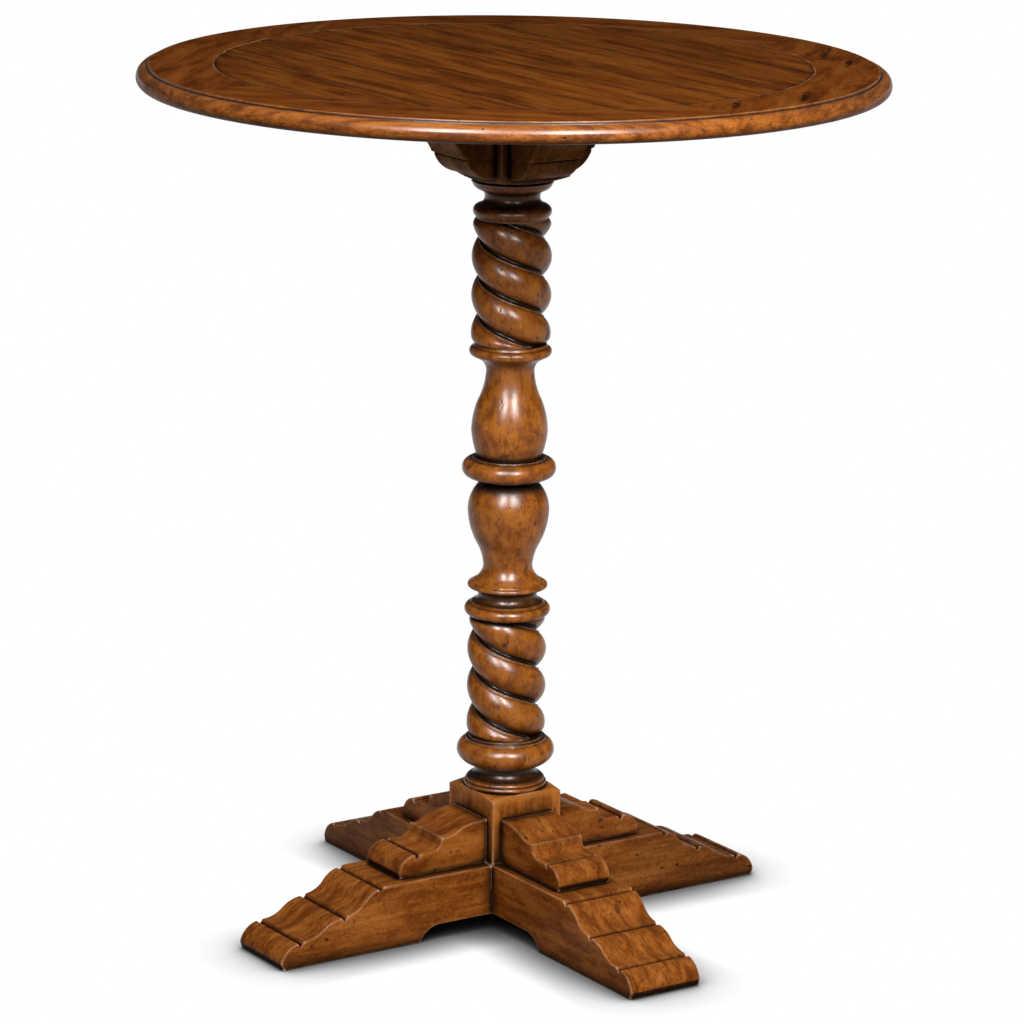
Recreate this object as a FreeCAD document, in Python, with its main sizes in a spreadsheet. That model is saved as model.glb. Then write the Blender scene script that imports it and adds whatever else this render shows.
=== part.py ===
import FreeCAD, Part
import os
from types import SimpleNamespace

import Sketcher

# Pedestal bar table: a round boarded top on corbels, a turned column with two barley twists,
# and a base of two crossed rails with scalloped feet and moulded brackets.
# The frame has +Z up and its origin on the floor under the column; the rails lie along X and Y.

# Driving sizes, in millimetres
SIZES = {
    # Whole table
    "table_height": 1079.5,
    "top_radius": 457.2,
    "top_thickness": 25.4,
    # Boards and rim
    "rim_width": 94.4,
    "field_clearance": 0.2,
    "seam_chamfer": 1.2,
    "shoulder_inset": 15.9,
    "shoulder_drop": 3.0,
    "nose_start_inset": 14.0,
    "underside_inset": 9.0,
    # Foot rails
    "rail_height": 82.55,
    "rail_width": 101.6,
    "foot_reach": 356.3,
    "foot_sole_inset": 2.8,
    "arch_half_span": 155.6,
    "arch_end_run": 27.9,
    "arch_height": 19.05,
    "line_width": 4.0,
    "line_depth": 2.8,
    # Blocks
    "block_width": 101.6,
    "block_edge": 2.0,
    "base_block_height": 82.55,
    "top_block_height": 108.1,
    # Base brackets
    "bracket_width": 76.2,
    "bracket_height": 57.15,
    "bracket_reach": 180.5,
    # Corbels
    "corbel_width": 76.2,
    "corbel_reach": 190.5,
    "corbel_reveal": 2.5,
    # Radii of the turned lengths
    "plinth_radius": 52.0,
    "torus_radius": 61.1,
    "torus_neck_radius": 36.5,
    "waist_radius": 36.6,
    "lower_collar_radius": 53.0,
    "waist_ring_radius": 49.7,
    "lower_neck_radius": 30.5,
    "lower_vase_radius": 50.6,
    "centre_ring_radius": 58.4,
    "upper_vase_radius": 47.4,
    "upper_neck_radius": 30.1,
    "upper_collar_radius": 50.9,
    "capital_ring_radius": 48.2,
    "capital_neck_radius": 33.4,
    "capital_disc_radius": 51.8,
    # Barley twist
    "twist_radius": 48.6,
    "twist_end_radius": 46.0,
    "twist_end_height": 9.0,
    "groove_root_radius": 37.0,
    "groove_lip_radius": 49.3,
    "groove_overrun": 4.0,
    # Column tenons
    "tenon_width": 38.0,
    "tenon_length": 45.0,
    "tenon_clearance": 0.2,
    "tenon_end_gap": 2.0,
    # Room for cutting shapes past a face
    "overrun": 1.0,
}

# Seams of the field boards across the top, as shares of the field radius
BOARD_SEAM_SHARES = (-1.0, -0.740, -0.474, -0.260, 0.005, 0.210, 0.463, 0.744, 1.0)

# Heights of the turned lengths of the column, as shares of the whole shaft between the blocks
FOOT_TURNING_SHARE = 0.0889
TWIST_SHARE = 0.1998
LOWER_VASE_SHARE = 0.2580
UPPER_VASE_SHARE = 0.1831
CAPITAL_SHARE = 0.0704

# Lead of a barley twist as a share of its height, and what else follows from that lead
TWIST_STARTS = 2
LEAD_SHARE = 0.615
GROOVE_HALF_WIDTH_SHARE = 0.219
GROOVE_RUN_SHARE = 0.95
LOWER_GROOVE_START_SHARE = 0.679
UPPER_GROOVE_START_SHARE = 0.711

# The four sides of a block, as quarter turns from +X
SIDES = {"right_back": 0, "left_back": 1, "left_front": 2, "right_front": 3}
QUARTER_TURN = 90.0
FULL_TURN = 360.0

doc = FreeCAD.newDocument("pedestal_table")
Vector = FreeCAD.Vector
UP = Vector(0, 0, 1)


class Length:
    """A length worked out from the sheet: its number, and the text that binds it."""

    def __init__(self, value, text):
        self.value = value
        self.text = text

    def __add__(self, other):
        return Length(self.value + other.value, f"{self.text} + {other.text}")

    def __sub__(self, other):
        return Length(self.value - other.value, f"{self.text} - ({other.text})")

    def __mul__(self, share):
        return Length(self.value * share, f"({self.text}) * {share}")

    def __neg__(self):
        return self * -1


def make_sheet():
    """Puts the driving sizes in the sheet and returns each as a bound length."""
    sheet = doc.addObject("Spreadsheet::Sheet", "sizes")
    for row, (alias, number) in enumerate(SIZES.items(), start=1):
        sheet.set(f"A{row}", str(number))
        sheet.setAlias(f"A{row}", alias)
    doc.recompute()
    return SimpleNamespace(**{a: Length(float(sheet.get(a)), f"sizes.{a}") for a in SIZES})


size = make_sheet()
ZERO = Length(0.0, "0")


def bind(thing, **lengths):
    """Binds the properties of an object to lengths of the sheet."""
    for name, length in lengths.items():
        thing.setExpression(name, length.text)


def place(thing, x=ZERO, y=ZERO, z=ZERO, turn=0.0):
    """Places a sub-part by bound lengths, turned about Z by so many degrees."""
    thing.Placement = FreeCAD.Placement(Vector(x.value, y.value, z.value), FreeCAD.Rotation(UP, turn))
    thing.setExpression("Placement.Base.x", x.text)
    thing.setExpression("Placement.Base.y", y.text)
    thing.setExpression("Placement.Base.z", z.text)


def line(x, y):
    """A straight side of an outline, to a point."""
    return (None, (x, y))


def arc(mid_x, mid_y, x, y):
    """A round side of an outline, through a middle point to its end."""
    return ((mid_x, mid_y), (x, y))


def flats(*points):
    """The sides of an outline that goes from point to point in short flats."""
    return [line(*point) for point in points]


def cut_line(x, before, after):
    """A V line across a moulding at x, where the surface goes from one height to the other."""
    bottom = before if before.value < after.value else after
    return [
        line(x - size.line_width * 0.5, before),
        line(x, bottom - size.line_depth),
        line(x + size.line_width * 0.5, after),
    ]


def hold(sketch, geometry, position, point):
    """The constraints that put one point of a sketch at bound lengths, and their texts."""
    kinds = (("DistanceX", point[0], -2), ("DistanceY", point[1], -1))
    made = []
    for kind, length, axis in kinds:
        if length is ZERO:
            made.append((Sketcher.Constraint("PointOnObject", geometry, position, axis), None))
        else:
            held = Sketcher.Constraint(kind, -1, 1, geometry, position, length.value)
            made.append((held, length.text))
    return made


def draw(body, name, role, start, sides, lift=ZERO):
    """Draws a closed outline on one of a body's planes, from a start point through its sides.

    lift moves the sketch along its own upright axis.
    """
    sketch = body.newObject("Sketcher::SketchObject", name)
    plane = next(f for f in body.Origin.OriginFeatures if f.Role == role)
    sketch.AttachmentSupport = [(plane, "")]
    sketch.MapMode = "FlatFace"
    sketch.setExpression("AttachmentOffset.Base.y", lift.text)
    corners = [start] + [end for middle, end in sides]
    flat = [Vector(x.value, y.value, 0) for x, y in corners]
    ends = []
    middles = []
    for index, (middle, end) in enumerate(sides + [line(*start)]):
        first = flat[index]
        last = flat[(index + 1) % len(flat)]
        if middle is None:
            sketch.addGeometry(Part.LineSegment(first, last), False)
            ends.append((1, 2))
            continue
        through = Vector(middle[0].value, middle[1].value, 0)
        side = sketch.addGeometry(Part.Arc(first, through, last), False)
        gaps = [sketch.getPoint(side, end_number).distanceToPoint(first) for end_number in (1, 2)]
        ends.append((1, 2) if gaps[0] < gaps[1] else (2, 1))
        middles.append((side, middle))
    made = []
    for index, corner in enumerate(corners):
        before = index - 1 if index else len(corners) - 1
        joined = Sketcher.Constraint("Coincident", before, ends[before][1], index, ends[index][0])
        made.append((joined, None))
        made.extend(hold(sketch, index, ends[index][0], corner))
    for side, middle in middles:
        point = sketch.addGeometry(Part.Point(Vector(middle[0].value, middle[1].value, 0)), True)
        made.append((Sketcher.Constraint("PointOnObject", point, 1, side), None))
        made.extend(hold(sketch, point, 1, middle))
    sketch.addConstraint([constraint for constraint, text in made])
    for index, (constraint, text) in enumerate(made):
        if text:
            sketch.setExpression(f"Constraints[{index}]", text)
    sketch.Visibility = False
    return sketch


def new_body(label):
    """A body with a label of its own."""
    body = doc.addObject("PartDesign::Body", label)
    body.Label = label
    return body


def pad(body, sketch, width):
    """Pads a side view equally to both sides of its plane."""
    feature = body.newObject("PartDesign::Pad", "pad")
    feature.Profile = sketch
    feature.SideType = "Symmetric"
    bind(feature, Length=width)
    return feature


def turn(body, sketch):
    """Revolves an outline all round the upright axis of its sketch."""
    feature = body.newObject("PartDesign::Revolution", "turning")
    feature.Profile = sketch
    feature.ReferenceAxis = (sketch, ["V_Axis"])
    feature.Angle = FULL_TURN


def box(name, wide, deep, high, z=ZERO):
    """A box centred on the column's axis, standing at height z."""
    made = doc.addObject("Part::Box", name)
    bind(made, Length=wide, Width=deep, Height=high)
    place(made, wide * -0.5, deep * -0.5, z)
    return made


def cut(label, base, tool):
    """Cuts a tool from a base, as a sub-part with a label of its own."""
    made = doc.addObject("Part::Cut", label)
    made.Base = base
    made.Tool = tool
    made.Label = label
    return made


# Places and sizes that more than one sub-part shares
top_under = size.table_height - size.top_thickness
field_radius = size.top_radius - size.rim_width
block_half = size.block_width * 0.5
block_top = size.rail_height + size.base_block_height
block_under = top_under - size.top_block_height
mortise_width = size.tenon_width + size.tenon_clearance * 2
mortise_depth = size.tenon_length + size.tenon_end_gap
lap_height = (size.arch_height + size.rail_height) * 0.5

# Turned lengths of the column, from the block on the rails to the block under the top
shaft_height = block_under - block_top
foot_turning_height = shaft_height * FOOT_TURNING_SHARE
twist_height = shaft_height * TWIST_SHARE
lower_vase_height = shaft_height * LOWER_VASE_SHARE
upper_vase_height = shaft_height * UPPER_VASE_SHARE
capital_height = shaft_height * CAPITAL_SHARE
twist_lead = twist_height * LEAD_SHARE


def field_disc():
    """The whole boarded field as a disc, which the boards are cut from."""
    disc = doc.addObject("Part::Cylinder", "field_disc")
    bind(disc, Radius=field_radius - size.field_clearance, Height=size.top_thickness)
    return disc


def field_board(number, left_share, right_share, disc):
    """One board of the field: a bar with V edges, trimmed to the disc."""
    bar = new_body(f"board_bar_{number}")
    left = field_radius * left_share
    right = field_radius * right_share
    outline = [
        line(right, ZERO),
        line(right, size.top_thickness - size.seam_chamfer),
        line(right - size.seam_chamfer, size.top_thickness),
        line(left + size.seam_chamfer, size.top_thickness),
        line(left, size.top_thickness - size.seam_chamfer),
    ]
    pad(bar, draw(bar, f"board_outline_{number}", "XZ_Plane", (left, ZERO), outline), field_radius * 2)
    board = doc.addObject("Part::Common", f"field_board_{number}")
    board.Base = bar
    board.Tool = disc
    board.Label = f"field_board_{number}"
    place(board, z=top_under)
    return board


def rim():
    """The wide rim round the boards: a small shoulder on top and a bullnose edge."""
    body = new_body("rim")
    top = size.top_thickness
    outer = size.top_radius
    outline = flats(
        (field_radius, top),
        (outer - size.shoulder_inset, top),
        (outer - size.nose_start_inset, top - size.shoulder_drop),
        (outer - size.nose_start_inset * 0.15, top * 0.54),
        (outer, top * 0.27),
        (outer - size.underside_inset, ZERO),
    )
    turn(body, draw(body, "rim_outline", "XZ_Plane", (field_radius, ZERO), outline))
    place(body, z=top_under)
    return body


def square_block(name, height):
    """A square block with eased upright edges, standing at zero."""
    body = new_body(name)
    inner = block_half - size.block_edge
    outline = [
        line(inner, -block_half),
        line(block_half, -inner),
        line(block_half, inner),
        line(inner, block_half),
        line(-inner, block_half),
        line(-block_half, inner),
        line(-block_half, -inner),
    ]
    sketch = draw(body, f"{name}_outline", "XY_Plane", (-inner, -block_half), outline)
    feature = body.newObject("PartDesign::Pad", "pad")
    feature.Profile = sketch
    bind(feature, Length=height)
    return body


def base_block():
    """The block on the rails, with a mortise for the column's lower tenon."""
    blank = square_block("base_block_blank", size.base_block_height)
    floor = size.base_block_height - mortise_depth
    mortise = box("base_mortise", mortise_width, mortise_width, mortise_depth, floor)
    block = cut("base_block", blank, mortise)
    place(block, z=size.rail_height)
    return block


def top_block():
    """The block under the top, with a mortise for the column's upper tenon."""
    blank = square_block("top_block_blank", size.top_block_height)
    block = cut("top_block", blank, box("top_mortise", mortise_width, mortise_width, mortise_depth))
    place(block, z=block_under)
    return block


def foot_outline():
    """Half the side view of a rail: flat top, two scallops and a nose, and the arch under it."""
    reach = size.foot_reach
    height = size.rail_height
    outline = [line(ZERO, height)]
    outline += cut_line(reach * 0.598, height, height * 0.984)
    outline += [
        arc(reach * 0.641, height * 0.930, reach * 0.669, height * 0.807),
        arc(reach * 0.702, height * 0.701, reach * 0.742, height * 0.654),
    ]
    outline += cut_line(reach * 0.748, height * 0.652, height * 0.646)
    outline += [
        arc(reach * 0.796, height * 0.600, reach * 0.835, height * 0.497),
        arc(reach * 0.867, height * 0.420, reach * 0.914, height * 0.388),
    ]
    outline += cut_line(reach * 0.922, height * 0.387, height * 0.390)
    outline += [
        arc(reach * 0.983, height * 0.264, reach, height * 0.090),
        line(reach - size.foot_sole_inset, ZERO),
        line(size.arch_half_span, ZERO),
        arc(
            size.arch_half_span - size.arch_end_run * 0.394,
            size.arch_height * 0.726,
            size.arch_half_span - size.arch_end_run,
            size.arch_height,
        ),
    ]
    return outline


def rail_blank(name):
    """A whole rail before its lap is cut: half its side view padded, and mirrored."""
    body = new_body(name)
    sketch = draw(body, f"{name}_outline", "XZ_Plane", (ZERO, size.arch_height), foot_outline())
    half = pad(body, sketch, size.rail_width)
    mirror = body.newObject("PartDesign::Mirrored", "mirror")
    mirror.Originals = [half]
    mirror.MirrorPlane = (sketch, ["V_Axis"])
    body.Tip = mirror
    return body


def foot_rails():
    """The two rails, halved over each other: one notched from above, the other from below."""
    wide = size.rail_width
    notches = {
        "under": box("under_notch", wide, wide + size.overrun, size.rail_height, lap_height),
        "over": box("over_notch", wide, wide + size.overrun, lap_height),
    }
    rails = []
    for name, angle in (("under", 0.0), ("over", QUARTER_TURN)):
        rail = cut(f"foot_rail_{name}", rail_blank(f"rail_{name}_blank"), notches[name])
        place(rail, turn=angle)
        rails.append(rail)
    return rails


def base_bracket(side, quarter):
    """A moulded bracket on a rail, against the base block: hump, step, scoop and nose."""
    body = new_body(f"base_bracket_{side}")
    reach = size.bracket_reach
    height = size.bracket_height
    outline = flats(
        (block_half, height),
        (reach * 0.332, height),
        (reach * 0.432, height * 0.962),
        (reach * 0.521, height * 0.857),
        (reach * 0.576, height * 0.785),
        (reach * 0.651, height * 0.766),
        (reach * 0.662, height * 0.608),
        (reach * 0.698, height * 0.508),
        (reach * 0.759, height * 0.486),
    )
    outline += cut_line(reach * 0.845, height * 0.486, height * 0.521)
    outline += flats(
        (reach * 0.920, height * 0.460),
        (reach * 0.972, height * 0.335),
        (reach, height * 0.130),
        (reach * 0.988, ZERO),
    )
    sketch = draw(body, f"bracket_outline_{side}", "XZ_Plane", (block_half, ZERO), outline)
    pad(body, sketch, size.bracket_width)
    place(body, z=size.rail_height, turn=quarter * QUARTER_TURN)
    return body


def corbel(side, quarter):
    """A moulded corbel on the top block: nose, scoop and hump, out to the underside of the top."""
    body = new_body(f"corbel_{side}")
    reach = size.corbel_reach
    height = size.top_block_height
    outline = flats(
        (reach * 0.299, size.corbel_reveal),
        (reach * 0.378, height * 0.050),
        (reach * 0.436, height * 0.138),
        (reach * 0.475, height * 0.254),
        (reach * 0.486, height * 0.264),
        (reach * 0.512, height * 0.370),
        (reach * 0.579, height * 0.500),
        (reach * 0.667, height * 0.601),
        (reach * 0.688, height * 0.601),
        (reach * 0.688, height * 0.657),
        (reach * 0.797, height * 0.676),
        (reach * 0.906, height * 0.750),
        (reach, height * 0.870),
        (reach, height),
        (block_half, height),
    )
    sketch = draw(body, f"corbel_outline_{side}", "XZ_Plane", (block_half, size.corbel_reveal), outline)
    pad(body, sketch, size.corbel_width)
    place(body, z=block_under, turn=quarter * QUARTER_TURN)
    return body


def foot_turning():
    """Outline above the base block: plinth, cove and torus."""
    height = foot_turning_height
    plinth = size.plinth_radius
    torus = size.torus_radius
    neck = size.torus_neck_radius
    return flats(
        (plinth, ZERO),
        (plinth, height * 0.120),
        (plinth * 0.908, height * 0.216),
        (neck * 1.123, height * 0.288),
        (neck, height * 0.370),
        (torus * 0.673, height * 0.390),
        (torus * 0.797, height * 0.434),
        (torus * 0.907, height * 0.507),
        (torus * 0.979, height * 0.605),
        (torus, height * 0.720),
        (torus * 0.943, height * 0.830),
        (torus * 0.843, height * 0.916),
        (size.twist_end_radius, height),
        (ZERO, height),
    )


def lower_vase():
    """Outline above the lower twist: collar, waist, ring, neck, vase and centre ring."""
    height = lower_vase_height
    collar = size.lower_collar_radius
    waist_ring = size.waist_ring_radius
    neck = size.lower_neck_radius
    vase = size.lower_vase_radius
    ring = size.centre_ring_radius
    return flats(
        (size.twist_end_radius, ZERO),
        (collar * 0.985, height * 0.026),
        (collar * 0.985, height * 0.058),
        (collar * 0.850, height * 0.082),
        (size.waist_radius, height * 0.129),
        (waist_ring * 0.970, height * 0.178),
        (waist_ring * 0.970, height * 0.205),
        (neck * 1.154, height * 0.251),
        (neck, height * 0.313),
        (neck * 1.056, height * 0.370),
        (vase * 0.739, height * 0.436),
        (vase * 0.860, height * 0.506),
        (vase * 0.955, height * 0.581),
        (vase, height * 0.660),
        (vase * 0.976, height * 0.730),
        (vase * 0.840, height * 0.799),
        (vase * 0.664, height * 0.855),
        (ring * 0.785, height * 0.874),
        (ring * 0.988, height * 0.915),
        (ring * 0.955, height * 0.957),
        (size.upper_vase_radius * 0.860, height),
    )


def upper_vase(base):
    """Outline above the centre ring, which ends at height base: vase, neck and collar."""
    height = upper_vase_height
    vase = size.upper_vase_radius
    neck = size.upper_neck_radius
    collar = size.upper_collar_radius
    return flats(
        (vase * 0.945, base + height * 0.106),
        (vase, base + height * 0.207),
        (vase * 0.984, base + height * 0.315),
        (vase * 0.885, base + height * 0.420),
        (vase * 0.762, base + height * 0.518),
        (neck * 1.063, base + height * 0.612),
        (neck, base + height * 0.734),
        (neck * 1.060, base + height * 0.820),
        (collar * 0.820, base + height * 0.878),
        (collar * 0.950, base + height * 0.909),
        (collar * 0.994, base + height * 0.950),
        (size.twist_end_radius, base + height),
        (ZERO, base + height),
    )


def capital():
    """Outline above the upper twist: ring, cove and ovolo."""
    height = capital_height
    ring = size.capital_ring_radius
    neck = size.capital_neck_radius
    disc = size.capital_disc_radius
    return flats(
        (size.twist_end_radius, ZERO),
        (ring, height * 0.090),
        (ring, height * 0.220),
        (ring * 0.913, height * 0.330),
        (neck * 1.138, height * 0.410),
        (neck * 1.040, height * 0.525),
        (neck * 1.200, height * 0.620),
        (disc, height * 0.830),
        (disc, height),
        (ZERO, height),
    )


def twist_blank():
    """Outline of a twist before carving: a drum with sloped ends."""
    height = twist_height
    return [
        line(size.twist_end_radius, ZERO),
        line(size.twist_radius, size.twist_end_height),
        line(size.twist_radius, height - size.twist_end_height),
        line(size.twist_end_radius, height),
        line(ZERO, height),
    ]


def strand_grooves(body, name, base, start_share):
    """Carves the grooves of a left-handed twist into its blank, which stands at height base."""
    half_width = twist_lead * GROOVE_HALF_WIDTH_SHARE
    lip = size.groove_lip_radius
    outer = lip + size.groove_overrun
    outline = flats((lip, half_width), (outer, half_width), (outer, -half_width), (lip, -half_width))
    for strand in range(TWIST_STARTS):
        lower_by = twist_lead * (strand / TWIST_STARTS)
        start = base - twist_lead * start_share - lower_by
        corner = (size.groove_root_radius, ZERO)
        sketch = draw(body, f"{name}_groove_{strand}", "XZ_Plane", corner, outline, start)
        groove = body.newObject("PartDesign::SubtractiveHelix", "groove")
        groove.Profile = sketch
        groove.ReferenceAxis = (sketch, ["V_Axis"])
        groove.Mode = "pitch-height-angle"
        groove.LeftHanded = True
        groove.Refine = False
        bind(groove, Pitch=twist_lead, Height=twist_height + twist_lead * GROOVE_RUN_SHARE + lower_by)


def column():
    """The turned column: two carved twists, and the mouldings below, between and above them."""
    body = new_body("column")
    centre = foot_turning_height + twist_height
    upper_twist = centre + lower_vase_height + upper_vase_height
    twists = (
        ("lower", foot_turning_height, LOWER_GROOVE_START_SHARE),
        ("upper", upper_twist, UPPER_GROOVE_START_SHARE),
    )
    for name, base, start_share in twists:
        turn(body, draw(body, f"{name}_twist", "YZ_Plane", (ZERO, ZERO), twist_blank(), base))
        strand_grooves(body, name, base, start_share)
    mouldings = (
        ("foot", foot_turning(), ZERO),
        ("centre", lower_vase() + upper_vase(lower_vase_height), centre),
        ("capital", capital(), upper_twist + twist_height),
    )
    for name, outline, base in mouldings:
        turn(body, draw(body, f"{name}_outline", "XZ_Plane", (ZERO, ZERO), outline, base))
    side = size.tenon_width * 0.5
    for name, base in (("lower", -size.tenon_length), ("upper", shaft_height)):
        top = base + size.tenon_length
        corners = [line(side, base), line(side, top), line(-side, top)]
        pad(body, draw(body, f"{name}_tenon", "XZ_Plane", (-side, base), corners), size.tenon_width)
    place(body, z=block_top)
    return body


def table_top():
    """The eight field boards and their rim."""
    disc = field_disc()
    pairs = zip(BOARD_SEAM_SHARES, BOARD_SEAM_SHARES[1:])
    boards = [field_board(number, left, right, disc) for number, (left, right) in enumerate(pairs, start=1)]
    return boards + [rim()]


def write_parts(parts):
    """Checks every object of the document, then writes each sub-part under its label."""
    doc.recompute()
    for thing in doc.Objects:
        if "Invalid" in thing.State or "Error" in thing.State:
            raise RuntimeError(f"{thing.Label} did not compute")
    os.makedirs("parts", exist_ok=True)
    for part in parts:
        if part.Shape.isNull() or not part.Shape.isValid():
            raise RuntimeError(f"{part.Label} has no valid shape")
        print(part.Label, len(part.Shape.Solids), round(part.Shape.Volume))
        part.Shape.exportStep(f"parts/{part.Label}.step")


parts = table_top() + [top_block()]
parts += [corbel(side, quarter) for side, quarter in SIDES.items()]
parts.append(column())
parts.append(base_block())
parts += foot_rails()
parts += [base_bracket(side, quarter) for side, quarter in SIDES.items()]
write_parts(parts)
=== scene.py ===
import math
import random

import bmesh
import bpy
from mathutils import Matrix, Vector
from mathutils.geometry import tessellate_polygon


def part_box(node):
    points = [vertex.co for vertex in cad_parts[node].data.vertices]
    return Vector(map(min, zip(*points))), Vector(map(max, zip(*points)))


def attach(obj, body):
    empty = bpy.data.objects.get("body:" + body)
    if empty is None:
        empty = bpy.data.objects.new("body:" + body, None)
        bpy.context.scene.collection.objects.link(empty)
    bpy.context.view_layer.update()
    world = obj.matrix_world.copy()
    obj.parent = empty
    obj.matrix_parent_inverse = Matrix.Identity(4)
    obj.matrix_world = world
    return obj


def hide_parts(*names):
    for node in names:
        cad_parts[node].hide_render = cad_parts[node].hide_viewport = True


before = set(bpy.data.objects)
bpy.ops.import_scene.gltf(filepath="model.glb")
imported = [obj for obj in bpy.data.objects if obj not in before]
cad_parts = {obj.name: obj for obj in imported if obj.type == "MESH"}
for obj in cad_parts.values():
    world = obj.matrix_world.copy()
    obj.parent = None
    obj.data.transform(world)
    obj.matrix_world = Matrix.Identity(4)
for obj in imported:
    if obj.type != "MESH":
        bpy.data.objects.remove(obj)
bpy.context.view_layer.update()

# Looks for a pedestal bar table: a boarded round top, a turned column with two barley twists,
# and crossed scalloped feet, all in distressed brown wood.
# Outlines are written in millimetres and scaled by MM, and everything else is in metres.
MM = 0.001


# Places that the pieces share, read from the frame
def top_of(node):
    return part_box(node)[1].z


def floor_of(node):
    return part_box(node)[0].z


TABLE_TOP = top_of("rim")
TOP_UNDER = floor_of("rim")
TOP_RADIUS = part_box("rim")[1].x
FIELD_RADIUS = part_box("field_board_8")[1].x
BLOCK_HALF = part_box("base_block")[1].x
RAIL_TOP = floor_of("base_block")
RAIL_HALF_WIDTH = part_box("foot_rail_under")[1].y
BASE_BLOCK_TOP = top_of("base_block")
TOP_BLOCK_UNDER = floor_of("top_block")
BRACKET_HALF_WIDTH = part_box("base_bracket_right_back")[1].y
CORBEL_HALF_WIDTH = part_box("corbel_right_back")[1].y

# The four sides of the blocks, as quarter turns from +X
SIDES = {"right_back": 0, "left_back": 1, "left_front": 2, "right_front": 3}
QUARTER_TURN = math.pi / 2

# Heights of the turned lengths above the base block
FOOT_TURNING = 69.4 * MM
TWIST = 156.0 * MM
LOWER_VASE = 201.5 * MM
UPPER_VASE = 143.0 * MM

# Radius, in millimetres, at which the turned outlines end inside the column
CORE = 30.0

# Barley twist. A groove of each twist passes the +X side at the height given for it.
TWIST_LEAD = 95.95 * MM
TWIST_STARTS = 2
CREST_RADIUS = 49.2 * MM
ROOT_RADIUS = 36.0 * MM
END_RADIUS = 45.0 * MM
END_HEIGHT = 9.0 * MM
LOWER_GROOVE_AT = 169.4 * MM
UPPER_GROOVE_AT = 666.8 * MM

# Section of a strand, in shares of the way across it. Each share of the lip, its upper edge, comes
# with the share of the full height that it stands out.
STRAND_FOOT_SHARES = (0.0, 0.012, 0.03, 0.05)
STRAND_LIP_SHARES = (
    (0.84, 0.605), (0.865, 0.53), (0.885, 0.44), (0.902, 0.375), (0.918, 0.345), (0.932, 0.375),
    (0.944, 0.35), (0.957, 0.21), (0.972, 0.09), (1.0, 0.0),
)
STRAND_FULLNESS = 0.80

# The round shoulder of a block, where its corners are turned down to the column
SHOULDER_RADIUS = 50.0 * MM
SHOULDER_HEIGHT = 5.2 * MM
SHOULDER_SINK = 0.8 * MM
SHOULDER_CURVE = 1.25
SHOULDER_SHARES = (0.0, 0.08, 0.2, 0.35, 0.5, 0.65, 0.8, 0.92, 1.0)
TOP_SHOULDER_DROP = 1.5 * MM

# The arch under the middle of a rail
ARCH_HEIGHT = 19.05 * MM

# Where the rim's wood changes: this far in from the edge, and this far down from the top
RING_INSET = 16.0 * MM
NOSE_DEPTH = 12.0 * MM
NOSE_SHADE_FROM = 12.5 * MM
NOSE_SHADE_BELOW = 2.0 * MM

# How far edges are rounded
CORNER_EASE = 0.7 * MM
RIM_EASE = 0.8 * MM
BOARD_EASE = 0.8 * MM
BOARD_CORNER_EASE = 0.2 * MM
BLOCK_EASE = 1.4 * MM
BLOCK_CORNER_EASE = 0.9 * MM
MOULDING_EASE = 1.6 * MM
RAIL_EASE = 1.5 * MM

# Shares of a rounding at which it gets a point, and the share of a side that one may take
CORNER_SHARES = (0.0, 0.33, 0.67, 1.0)
EDGE_SHARES = (0.0, 0.3, 0.6, 0.85, 1.0)
BLOCK_EDGE_SHARES = (0.0, 0.35, 0.7, 1.0)
MOST_OF_SIDE_SHARE = 0.45

# Fineness of the meshes
COLUMN_SEGMENTS = 160
RIM_SEGMENTS = 480
STRAND_ROWS = 24
ARC_LEAST_STEPS = 4
BOARD_LEAST_STEPS = 8
ARC_STEP = 1.2 * MM
COLUMN_STEP = 1.6 * MM
RIM_STEP = 4.0 * MM
BOARD_STEP = 5.0 * MM
BLOCK_STEP = 2.5 * MM

# A corner is sharp from this turn on, and what lies closer than these lengths is one point
SHARP_TURN = math.radians(14)
BOARD_LEAST_SIDE = 0.1 * MM
WELD = 0.01 * MM
TINY = 1e-6


# Outlines
def circle_through(a, b, c):
    """Centre of the circle through three points of a plane."""
    ab, ac = b - a, c - a
    cross = 2 * (ab.x * ac.y - ab.y * ac.x)
    x = (ac.y * ab.length_squared - ab.y * ac.length_squared) / cross
    y = (ab.x * ac.length_squared - ac.x * ab.length_squared) / cross
    return a + Vector((x, y))


def arc_points(start, middle, end):
    """Points of an arc through three points, without its start."""
    centre = circle_through(start, middle, end)
    radius = (start - centre).length
    first = math.atan2(start.y - centre.y, start.x - centre.x)
    through = (math.atan2(middle.y - centre.y, middle.x - centre.x) - first) % math.tau
    sweep = (math.atan2(end.y - centre.y, end.x - centre.x) - first) % math.tau
    if through > sweep:
        sweep -= math.tau
    count = max(ARC_LEAST_STEPS, math.ceil(abs(sweep) * radius / ARC_STEP))
    angles = [first + sweep * step / count for step in range(1, count)]
    return [centre + radius * Vector((math.cos(a), math.sin(a))) for a in angles] + [end]


def outline(start, *sides):
    """An outline in metres from points in millimetres: a pair goes straight there, a four goes
    round through a middle point to its end."""
    points = [Vector(start) * MM]
    for side in sides:
        end = Vector(side[-2:]) * MM
        if len(side) == 4:
            points += arc_points(points[-1], Vector(side[:2]) * MM, end)
        else:
            points.append(end)
    return points


def sharp_corners(points, closed=False):
    """Numbers of the points at which an outline turns sharply."""
    count = len(points)
    found = []
    for index in range(count) if closed else range(1, count - 1):
        before = points[index - 1] - points[index]
        after = points[(index + 1) % count] - points[index]
        if math.pi - before.angle(after) >= SHARP_TURN:
            found.append(index)
    return found


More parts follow.
